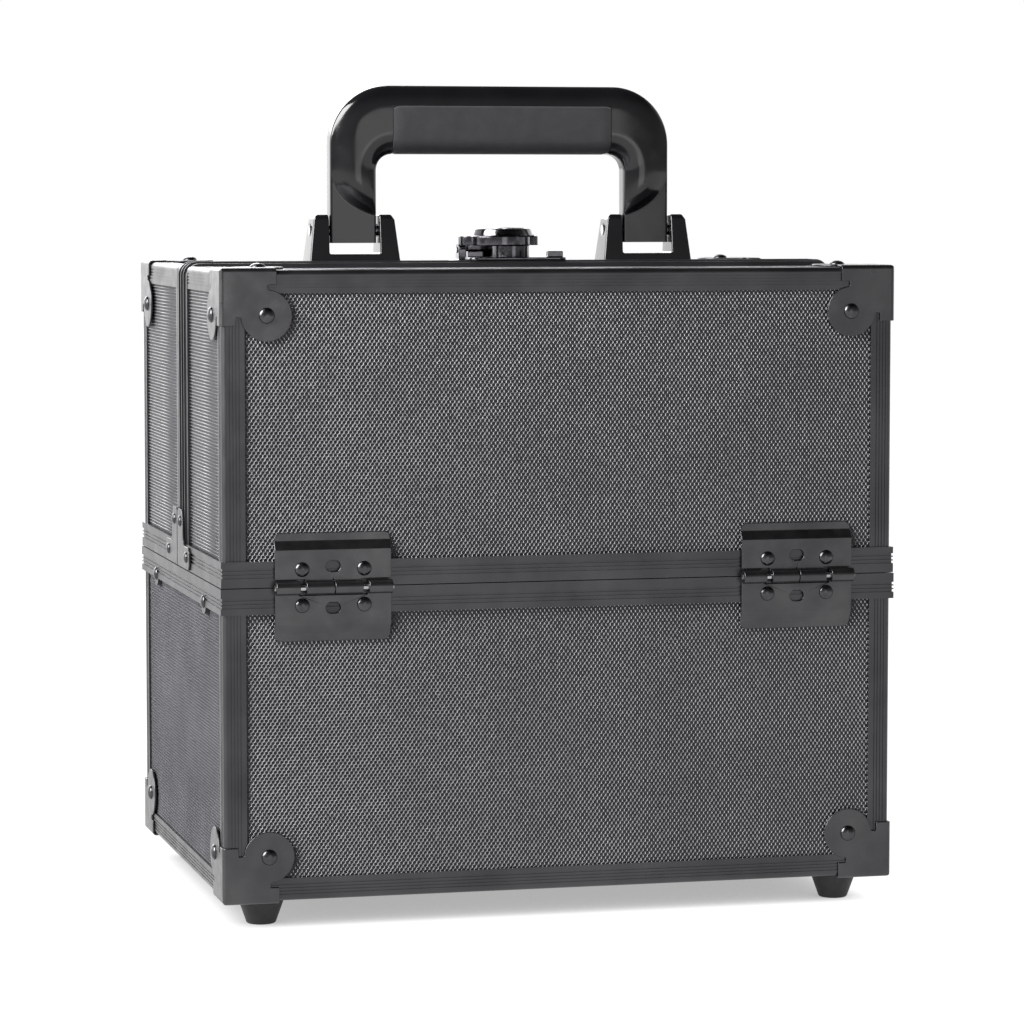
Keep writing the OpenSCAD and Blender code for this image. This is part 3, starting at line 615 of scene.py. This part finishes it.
class TRAINCASE_OT_mesh_sheets(bpy.types.Operator):
    """Lay the pressed mesh over the fronts, backs and tops, and over the tub's sides"""
    bl_idname = "traincase.mesh_sheets"
    bl_label = "Mesh sheets"

    def execute(self, context):
        sizes = context.scene.train_case_sheets
        grower = mesh_sheet_grower()
        edge = sizes.rail_cover
        # Side boards stand between the front and rear boards, so their rails cover less of them
        side_edge = edge - (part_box("base_front_panel")[1].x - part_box("base_floor_panel")[1].x)
        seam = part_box("front_wing_top_panel")[1].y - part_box("front_wing_seam_rail")[0].y
        rear_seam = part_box("rear_wing_seam_rail")[1].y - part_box("rear_wing_top_panel")[0].y
        under = 0.8 * MM   # how far the top sheets reach under the seam rails
        sheets = {
            "tub_front_mesh": ["base_front_panel", "front", (edge,) * 4],
            "tub_rear_mesh": ["base_rear_panel", "rear", (edge,) * 4],
            "tub_left_mesh": ["base_side_panels", "left", (side_edge, side_edge, edge, edge)],
            "tub_right_mesh": ["base_side_panels", "right", (side_edge, side_edge, edge, edge)],
            "front_wing_face_mesh": ["front_wing_face_panel", "front", (edge,) * 4],
            "rear_wing_face_mesh": ["rear_wing_face_panel", "rear", (edge,) * 4],
            "front_wing_top_mesh": [
                "front_wing_top_panel", "top", (edge, edge, side_edge, seam - under)],
            "rear_wing_top_mesh": [
                "rear_wing_top_panel", "top", (edge, edge, rear_seam - under, side_edge)]}
        for name, (node, facing, trims) in sheets.items():
            centre, width, height = cut_back(*outer_face(node, facing), facing, trims)
            # The tub's two sides take a darker copy of the mesh foil, which paints shade on them
            foil = shaded_side_mesh if node == "base_side_panels" else silvered_mesh
            mesh = grower.grow({
                "Width": width, "Height": height, "Pitch": sizes.mesh_pitch,
                "Row": sizes.mesh_row, "Proud": sizes.mesh_proud,
                "Opening": sizes.mesh_opening, "Lean": sizes.mesh_lean,
                "Material": finish_by(foil)})
            add_piece(name, stand(mesh, centre, facing), body_of_node(node), "mesh_board", foil)
        return {"FINISHED"}


class TRAINCASE_OT_ribbed_sheets(bpy.types.Operator):
    """Lay the ribbed sheets over the two sides of each wing"""
    bl_idname = "traincase.ribbed_sheets"
    bl_label = "Ribbed sheets"

    def execute(self, context):
        sizes = context.scene.train_case_sheets
        grower = rib_grower()
        rail_edge = 4.0 * MM   # how far in from a board's side and top its ribs start
        rim_edge = 8.1 * MM    # and how far up from its foot
        for wing in ("front_wing", "rear_wing"):
            board = wing + "_side_panels"
            seam_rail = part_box(wing + "_seam_rail")
            low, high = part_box(board)
            if wing == "front_wing":
                near_seam = high.y - seam_rail[0].y
            else:
                near_seam = seam_rail[1].y - low.y
            halves = []
            for facing in ("left", "right"):
                # The seam is on the left of a sheet seen from outside on two of the four sides
                seam_on_left = (facing == "left") == (wing == "front_wing")
                across = (near_seam, rail_edge) if seam_on_left else (rail_edge, near_seam)
                centre, width, height = cut_back(
                    *outer_face(board, facing), facing, (*across, rim_edge, rail_edge))
                mesh = grower.grow({
                    "Width": width, "Height": height, "Pitch": sizes.rib_pitch,
                    "Rib": sizes.rib_width, "Proud": sizes.rib_proud,
                    "Material": finish_by(ribbed_foil)})
                halves.append(stand(mesh, centre, facing))
            add_piece(wing + "_ribs", joined(halves), wing, "ribbed_board", ribbed_foil)
        return {"FINISHED"}


# ---------- rivets ----------

def loose_solids(node):
    """The vertex places of each separate solid in a CAD node."""
    work = welded_copy(node)
    unseen = set(work.verts)
    while unseen:
        group, waiting = [], [unseen.pop()]
        while waiting:
            vert = waiting.pop()
            group.append(vert.co.copy())
            for edge in vert.link_edges:
                other = edge.other_vert(vert)
                if other in unseen:
                    unseen.remove(other)
                    waiting.append(other)
        yield group
    work.free()


def rivet_points(node):
    """A mesh of points, one under each rivet of a node, with its facing, radius and height."""
    seats, facings, radii, heights = [], [], [], []
    for places in loose_solids(node):
        low = Vector([min(p[i] for p in places) for i in range(3)])
        high = Vector([max(p[i] for p in places) for i in range(3)])
        size = high - low
        axis = min(range(3), key=lambda i: size[i])
        # A rivet head's flat seat holds more vertices than the top of its dome
        on_low = sum(abs(p[axis] - low[axis]) < TOUCHING for p in places)
        on_high = sum(abs(p[axis] - high[axis]) < TOUCHING for p in places)
        seat = (low + high) / 2
        facing = Vector((0, 0, 0))
        seat[axis], facing[axis] = (low[axis], 1) if on_low > on_high else (high[axis], -1)
        seats.append(seat)
        facings.extend(facing)
        radii.append(max(size) / 2)
        heights.append(size[axis])
    mesh = bpy.data.meshes.new(node)
    mesh.from_pydata(seats, [], [])
    mesh.attributes.new("facing", "FLOAT_VECTOR", "POINT").data.foreach_set("vector", facings)
    mesh.attributes.new("radius", "FLOAT", "POINT").data.foreach_set("value", radii)
    mesh.attributes.new("height", "FLOAT", "POINT").data.foreach_set("value", heights)
    return mesh


class TRAINCASE_OT_rivets(bpy.types.Operator):
    """Set domed black-nickel heads in place of the frame's rivets"""
    bl_idname = "traincase.rivets"
    bl_label = "Rivets"

    def execute(self, context):
        grower = rivet_grower()
        segments = context.scene.train_case_metalwork.rivet_segments
        for node in frame["nodes"]:
            if slot_of_node(node) == "rivet_steel":
                mesh = grower.grow({"Segments": segments, "Material": finish_by(black_nickel)},
                                   rivet_points(node))
                add_piece(node.replace("rivets", "rivet_heads"), mesh, body_of_node(node),
                          "rivet_steel", replaces=[node])
        return {"FINISHED"}


# ---------- pressed and moulded pieces ----------

class MetalworkSizes(bpy.types.PropertyGroup):
    """Edge radii of the pressed and moulded pieces."""
    pressed_edge: length("Pressed edge", "Radius left on the edges of pressed steel", 0.22)
    cast_edge: length("Cast edge", "Radius on the edges of the latch's castings", 0.35)
    moulded_edge: length("Moulded edge", "Radius on the edges of moulded plastic and rubber", 0.6)
    rivet_segments: IntProperty(
        name="Rivet segments", description="Sides of each rivet head", default=28, min=8, max=64)


def soften_nodes(nodes, width, segments):
    """Replaces CAD nodes with copies whose edges are rounded."""
    for node in nodes:
        add_piece(node + "_rounded", softened(node, width, segments), body_of_node(node),
                  slot_of_node(node), replaces=[node])


class RoundedPieces:
    """What the operators share that only round the edges of CAD nodes."""

    def execute(self, context):
        width = getattr(context.scene.train_case_metalwork, self.edge)
        soften_nodes(self.nodes, width, self.segments)
        return {"FINISHED"}


class TRAINCASE_OT_corner_caps(RoundedPieces, bpy.types.Operator):
    """Round the edges of the pressed corner caps and of the seam brackets"""
    bl_idname = "traincase.corner_caps"
    bl_label = "Corner caps and seam brackets"
    nodes = ["base_corner_caps", "front_wing_corner_caps", "rear_wing_corner_caps",
             "front_wing_seam_brackets", "rear_wing_seam_brackets"]
    edge = "pressed_edge"
    segments = 2


class TRAINCASE_OT_hinges(RoundedPieces, bpy.types.Operator):
    """Round the edges of the hinge leaves"""
    bl_idname = "traincase.hinges"
    bl_label = "Hinges"
    nodes = ["hinge_lower_leaves", "front_hinge_upper_leaves", "rear_hinge_upper_leaves"]
    edge = "pressed_edge"
    segments = 2


class TRAINCASE_OT_latch(RoundedPieces, bpy.types.Operator):
    """Round the edges of the latch's castings and of its lock"""
    bl_idname = "traincase.latch"
    bl_label = "Latch and lock"
    nodes = ["latch_base_plate", "latch_keeper", "latch_lever", "lock_cylinder"]
    edge = "cast_edge"
    segments = 3


class TRAINCASE_OT_feet(RoundedPieces, bpy.types.Operator):
    """Round the edges of the rubber feet"""
    bl_idname = "traincase.feet"
    bl_label = "Feet"
    nodes = ["rubber_feet"]
    edge = "moulded_edge"
    segments = 3


class TRAINCASE_OT_trays(RoundedPieces, bpy.types.Operator):
    """Round the edges of the four moulded trays"""
    bl_idname = "traincase.trays"
    bl_label = "Trays"
    nodes = [node for node in frame["nodes"] if node.endswith("_tray")]
    edge = "moulded_edge"
    segments = 2


# ---------- handle ----------

class HandleSizes(bpy.types.PropertyGroup):
    """Sizes of the handle that its CAD solids don't carry."""
    corner: length("Corner", "Outer radius of the handle's bends", 22)
    window_corner: length("Inner corner", "Inner radius of the handle's bends", 6)
    leg: length("Leg", "Width of a leg", 17.6)
    bar: length("Bar", "Height of the bar above the grip", 7.6)
    wall: length("Side wall", "Half the thickness of the handle at its rim", 2.9)
    flat: length("Flat", "Half the thickness of the flat at the foot of a leg", 3.5)
    swell: length("Swell", "Half the thickness of the bends and of the bar", 7)
    flat_top: length("Flat top", "Height of the flat's top above the foot of a leg", 28.6)
    flat_reach: length("Flat reach", "Width of the quarter ellipse that ends the flat", 30)
    flat_rise: length("Flat rise", "Height of the quarter ellipse that ends the flat", 20)
    rim_round: length("Rim round", "How far in from the rim the flat is reached", 0.7)
    swell_run: length("Swell run", "Distance over which the swell mostly rises from the flat", 2.6)


# Faces up a leg, across the bar, across the rest of a bend, along half the bar and through the
# thickness; and points round a bend
LEG_ROWS = 56
BAR_COLUMNS, INNER_COLUMNS = 16, 22
BAR_STEPS = 24
WALL_STEPS = 4
BEND_POINTS = 44
CROWDING = 1.4   # above 1, columns stand closer together near the two edges


def arc(centre, radius, start, end, count):
    """Points along an arc in the XZ plane, from a start to an end angle in degrees."""
    turns = [radians(start + (end - start) * i / (count - 1)) for i in range(count)]
    return [Vector((centre[0] + radius * cos(a), centre[1] + radius * sin(a))) for a in turns]


def evenly(points, count):
    """The same path with a given count of points, evenly spaced along it."""
    nothing = 1e-12   # guards against rounding at the ends
    lengths = [0.0]
    for a, b in zip(points, points[1:]):
        lengths.append(lengths[-1] + (b - a).length)
    made = []
    for i in range(count):
        want = lengths[-1] * i / (count - 1)
        k = max(n for n in range(len(points) - 1) if lengths[n] <= want + nothing)
        share = (want - lengths[k]) / max(lengths[k + 1] - lengths[k], nothing)
        made.append(points[k].lerp(points[k + 1], min(share, 1)))
    return made


def add_grid(work, rows):
    """Fills a grid of places with four-sided faces."""
    verts = [[work.verts.new(place) for place in row] for row in rows]
    for low, high in zip(verts, verts[1:]):
        for a, b, c, d in zip(low, low[1:], high[1:], high):
            work.faces.new((a, b, c, d))


def closed_mesh(work, name, sharp):
    """Joins a bmesh's patches into one shell, smooth but for edges above sharp degrees."""
    bmesh.ops.remove_doubles(work, verts=work.verts, dist=TOUCHING)
    bmesh.ops.dissolve_degenerate(work, edges=work.edges, dist=TOUCHING / 10)
    bmesh.ops.recalc_face_normals(work, faces=work.faces)
    mesh = bpy.data.meshes.new(name)
    work.to_mesh(mesh)
    work.free()
    mesh.shade_smooth()
    mesh.set_sharp_from_angle(angle=radians(sharp))
    return mesh


class HandleShape:
    """Half-thickness of the handle at any place of its left side, and its left outlines."""

    def __init__(self, sizes):
        self.sizes = sizes
        low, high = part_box("handle_frame")
        self.grip_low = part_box("handle_grip")[0]
        self.left, self.foot, self.top = low.x, low.z, high.z
        self.mid_y = (low.y + high.y) / 2

    def outlines(self, leg_rows, bend_points):
        """Points up the outer side and, beside them, up the inner side, to the grip's end."""
        outer_count, inner_count = 24, 12
        last_turn = 91   # degrees; the straight run to the grip's end takes up the last one
        s = self.sizes
        window_top = self.grip_low.z
        end = self.grip_low.x
        inner = self.left + s.leg
        leg_top = window_top - s.window_corner
        legs = [self.foot + (leg_top - self.foot) * i / leg_rows for i in range(leg_rows + 1)]
        outer_bend = ([Vector((self.left, leg_top))]
                      + arc((self.left + s.corner, self.top - s.corner), s.corner,
                            180, 90, outer_count)
                      + [Vector((end, self.top))])
        inner_bend = arc((inner + s.window_corner, leg_top), s.window_corner,
                         180, last_turn, inner_count)
        inner_bend.append(Vector((end, window_top)))
        outer = [Vector((self.left, z)) for z in legs] + evenly(outer_bend, bend_points)[1:]
        within = [Vector((inner, z)) for z in legs] + evenly(inner_bend, bend_points)[1:]
        return outer, within

    def half_thickness(self, place, depth, width):
        """Half the thickness at a place that lies depth inside the outer edge."""
        s = self.sizes
        rim = max(min(depth, width - depth), 0)
        edge = min(rim / s.rim_round, 1)
        flat = s.wall + (s.flat - s.wall) * sqrt(1 - (1 - edge) ** 2)
        # The flat ends at a quarter of an ellipse, from the outer to the inner side of the leg
        from_side = (place.x - self.left - s.flat_reach) / s.flat_reach
        below = min(place.y - self.foot - s.flat_top, 0) / s.flat_rise
        inside = (1 - sqrt(min(from_side, 0) ** 2 + below ** 2)) * s.flat_rise
        if inside <= 0:
            return flat
        crown = sqrt(1 - (1 - min(rim / (s.leg / 2), 1)) ** 2)
        full = s.wall + (s.swell - s.wall) * crown
        return max(flat, flat + (full - flat) * (1 - exp(-inside / s.swell_run)))


def handle_half(work, shape, side):
    """One leg, its bend and half of the bar; side is 1 for the left and -1 for the right."""
    s = shape.sizes

    def place(point, y):
        return (side * point.x, shape.mid_y + y, point.y)

    def patch(rows, width_of):
        """Front, rear and rim faces over rows of points from the outer edge inwards."""
        halves = [[shape.half_thickness(p, (p - row[0]).length, width_of(row)) for p in row]
                  for row in rows]
        for face in (-1, 1):
            add_grid(work, [[place(p, face * h) for p, h in zip(row, half)]
                            for row, half in zip(rows, halves)])
        return halves

    def wall(points, halves):
        """A wall from the front face to the rear face along a line of points."""
        add_grid(work, [[place(p, -h + 2 * h * k / WALL_STEPS) for k in range(WALL_STEPS + 1)]
                        for p, h in zip(points, halves)])

    def side_walls(rows, halves):
        """The walls along the outer and the inner ends of rows."""
        for end in (0, -1):
            wall([row[end] for row in rows], [half[end] for half in halves])

    near = BAR_COLUMNS
    rows = []
    for a, b in zip(*shape.outlines(LEG_ROWS, BEND_POINTS)):
        bar_share = s.bar / (b - a).length
        shares = [bar_share * (i / near) ** CROWDING for i in range(near + 1)]
        shares += [bar_share + (1 - bar_share) * (1 - (1 - i / INNER_COLUMNS) ** CROWDING)
                   for i in range(1, INNER_COLUMNS + 1)]
        rows.append([a.lerp(b, share) for share in shares])
    halves = patch(rows, lambda row: (row[-1] - row[0]).length)
    side_walls(rows, halves)
    wall(rows[0], halves[0])
    wall(rows[-1][near:], halves[-1][near:])
    # The bar above the grip carries the bend's outer part on to the middle
    last = rows[-1][:near + 1]
    bar_rows = [[Vector((p.x * (1 - i / BAR_STEPS), p.y)) for p in last]
                for i in range(BAR_STEPS + 1)]
    full_width = (rows[-1][-1] - rows[-1][0]).length
    side_walls(bar_rows, patch(bar_rows, lambda row: full_width))


def grip_mesh():
    """The grip under the bar: flat against the bar, round below, slightly fuller in the middle."""
    low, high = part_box("handle_grip")
    end_gap, top_gap, side_gap = 0.25 * MM, 0.05 * MM, 0.3 * MM
    round_low, round_high = 6.2 * MM, 1.0 * MM
    arc_points, stations = 9, 40
    end_run, end_share, belly_share = 2 * MM, 0.06, 0.02
    mid_y, half_y = (low.y + high.y) / 2, (high.y - low.y) / 2 - side_gap
    corners = [(1, 1, round_high, 0), (-1, 1, round_high, 90),
               (-1, -1, round_low, 180), (1, -1, round_low, 270)]
    top, bottom = high.z - top_gap, low.z
    outline = []
    for y_side, z_side, radius, start in corners:
        centre_z = top - radius if z_side > 0 else bottom + radius
        outline += arc((y_side * (half_y - radius), centre_z), radius,
                       start, start + 90, arc_points)
    outline.append(outline[0])
    length = high.x - low.x - 2 * end_gap
    middle_z = (top + bottom) / 2
    rows = []
    for i in range(stations + 1):
        along = i / stations
        x = low.x + end_gap + length * along
        from_end = min(along, 1 - along) * length
        drawn = 1 - end_share * max(0, 1 - from_end / end_run) ** 2
        fuller = 1 + belly_share * sin(pi * along)
        rows.append([(x, mid_y + p.x * drawn * fuller, middle_z + (p.y - middle_z) * drawn)
                     for p in outline])
    work = bmesh.new()
    add_grid(work, rows)
    for row in (rows[0], rows[-1]):
        work.faces.new([work.verts.new(p) for p in row[:-1]])
    return closed_mesh(work, "handle_grip", 50)


class TRAINCASE_OT_handle(bpy.types.Operator):
    """Form the gloss handle with its swelling bends, its grip and its brackets"""
    bl_idname = "traincase.handle"
    bl_label = "Handle"

    def execute(self, context):
        shape = HandleShape(context.scene.train_case_handle)
        work = bmesh.new()
        for side in (1, -1):
            handle_half(work, shape, side)
        bow = closed_mesh(work, "handle_bow", 35)
        add_piece("handle_bow", bow, "handle", "handle_plastic", replaces=["handle_frame"])
        add_piece("handle_sleeve", grip_mesh(), "handle", "grip_plastic",
                  replaces=["handle_grip"])
        soften_nodes(["handle_brackets"], context.scene.train_case_metalwork.moulded_edge, 3)
        return {"FINISHED"}


# ---------- finishes of the CAD nodes ----------

class TRAINCASE_OT_finishes(bpy.types.Operator):
    """Give every node of the frame the finish of its material slot"""
    bl_idname = "traincase.finishes"
    bl_label = "Frame finishes"

    def execute(self, context):
        for name, node in frame["nodes"].items():
            coat = finish_by(SLOT_FINISHES[slot_of_node(name)])
            for slot in node.material_slots:
                slot.material = coat
        return {"FINISHED"}


# ---------- stage ----------

class StageSettings(bpy.types.PropertyGroup):
    """Camera and lights of the studio."""
    camera_place: FloatVectorProperty(
        name="Camera", description="Where the camera stands", subtype="TRANSLATION",
        default=(-0.3637, -1.4463, 0.2619))
    camera_turn: FloatVectorProperty(
        name="Camera turn", description="The camera's rotation", subtype="EULER",
        default=(radians(85.33), 0, radians(-14.235)))
    lens: FloatProperty(
        name="Lens", description="Focal length in millimetres", default=138.0, min=20)
    key_power: FloatProperty(
        name="Key", description="Power of the large light on the left, in watts", default=70.0)
    back_power: FloatProperty(
        name="Back", description="Power of the light behind the case, in watts", default=20.0)
    front_power: FloatProperty(
        name="Front", description="Power of the low light in front, in watts", default=2.0)


# Each light's place, its width in metres and the setting that holds its power
LIGHTS = {
    "key_left": ((-1.3, -0.5, 1.0), 1.1, "key_power"),
    "behind": ((-0.3, 1.5, 1.0), 1.2, "back_power"),
    "front_low": ((0.35, -2.2, 0.12), 0.7, "front_power")}
LIGHTS_AIM = (0, 0, 0.14)


def add_light(name, place, target, width, power):
    """A square area light that looks at a target."""
    data = bpy.data.lights.new(name, "AREA")
    data.size = width
    data.energy = power
    light = bpy.data.objects.new(name, data)
    light.location = place
    light.rotation_euler = (Vector(target) - Vector(place)).to_track_quat("-Z", "Y").to_euler()
    bpy.context.scene.collection.objects.link(light)


def add_camera(settings):
    """The camera, with everything in focus."""
    data = bpy.data.cameras.new("camera")
    data.lens = settings.lens
    data.sensor_width = 36.0
    data.dof.use_dof = False
    camera = bpy.data.objects.new("camera", data)
    camera.location = settings.camera_place
    camera.rotation_euler = settings.camera_turn
    bpy.context.scene.collection.objects.link(camera)
    bpy.context.scene.camera = camera


def add_floor():
    """A white square floor under the case."""
    reach = 6.0
    corners = [(-reach, -reach, 0), (reach, -reach, 0), (reach, reach, 0), (-reach, reach, 0)]
    mesh = bpy.data.meshes.new("studio_floor")
    mesh.from_pydata(corners, [], [(0, 1, 2, 3)])
    mesh.materials.append(finish_by(painted_floor))
    floor = bpy.data.objects.new("studio_floor", mesh)
    bpy.context.scene.collection.objects.link(floor)


def studio_world():
    """Surroundings that the case mirrors: bright behind it and on its left, dark above."""
    world = bpy.data.worlds.new("studio")
    world.use_nodes = True
    tree = world.node_tree
    tree.nodes.clear()

    def product(a, b):
        return add(tree, "ShaderNodeMath", {0: a, 1: b}, operation="MULTIPLY").outputs[0]

    way = add(tree, "ShaderNodeSeparateXYZ", {
        0: add(tree, "ShaderNodeTexCoord").outputs["Generated"]}).outputs
    height = add(tree, "ShaderNodeMath", {0: way["Z"]}, operation="ABSOLUTE").outputs[0]
    level = ramp(tree, height, 0.15, 0.7, 1.0, 0.06)
    back = ramp(tree, way["Y"], -0.3, 0.3, 0.3, 2.1)
    left = ramp(tree, way["X"], -0.3, 0.1, 1.3, 1.0)
    around = add(tree, "ShaderNodeBackground", {"Strength": product(level, product(back, left))})
    white = add(tree, "ShaderNodeBackground", {"Color": linear("#ffffff"), "Strength": 1.0})
    seen = add(tree, "ShaderNodeLightPath").outputs["Is Camera Ray"]
    both = add(tree, "ShaderNodeMixShader", {0: seen, 1: around.outputs[0], 2: white.outputs[0]})
    add(tree, "ShaderNodeOutputWorld", {"Surface": both.outputs[0]})
    return world


class TRAINCASE_OT_stage(bpy.types.Operator):
    """Set up the white studio: camera, floor, soft lights and pale surroundings"""
    bl_idname = "traincase.stage"
    bl_label = "Stage"

    def execute(self, context):
        settings = context.scene.train_case_stage
        add_camera(settings)
        add_floor()
        for name, (place, width, power) in LIGHTS.items():
            add_light(name, place, LIGHTS_AIM, width, getattr(settings, power))
        context.scene.world = studio_world()
        context.scene.view_settings.view_transform = "Standard"
        return {"FINISHED"}


# ---------- panel and registration ----------

OPERATORS = [
    TRAINCASE_OT_stage, TRAINCASE_OT_finishes, TRAINCASE_OT_mesh_sheets,
    TRAINCASE_OT_ribbed_sheets, TRAINCASE_OT_corner_caps, TRAINCASE_OT_hinges,
    TRAINCASE_OT_rivets, TRAINCASE_OT_latch, TRAINCASE_OT_feet, TRAINCASE_OT_trays,
    TRAINCASE_OT_handle]

SETTINGS = {
    "train_case_sheets": SheetSizes, "train_case_metalwork": MetalworkSizes,
    "train_case_handle": HandleSizes, "train_case_stage": StageSettings}


class TRAINCASE_PT_panel(bpy.types.Panel):
    """Lists the train case's pieces and their sizes"""
    bl_label = "Train Case"
    bl_idname = "TRAINCASE_PT_panel"
    bl_space_type = "VIEW_3D"
    bl_region_type = "UI"
    bl_category = "Train Case"

    def draw(self, context):
        for operator in OPERATORS:
            self.layout.operator(operator.bl_idname)
        for name, group in SETTINGS.items():
            box = self.layout.box()
            for key in group.__annotations__:
                box.prop(getattr(context.scene, name), key)


def register():
    """Registers the settings, the operators and the panel."""
    for name, group in SETTINGS.items():
        bpy.utils.register_class(group)
        setattr(bpy.types.Scene, name, PointerProperty(type=group))
    for operator in [*OPERATORS, TRAINCASE_PT_panel]:
        bpy.utils.register_class(operator)


def unregister():
    """Removes everything that register adds."""
    for operator in [TRAINCASE_PT_panel, *reversed(OPERATORS)]:
        bpy.utils.unregister_class(operator)
    for name, group in SETTINGS.items():
        delattr(bpy.types.Scene, name)
        bpy.utils.unregister_class(group)


def main():
    """Runs every operator in order."""
    register()
    for operator in OPERATORS:
        getattr(bpy.ops.traincase, operator.bl_idname.split(".")[1])()


if __name__ == "__main__":
    main()
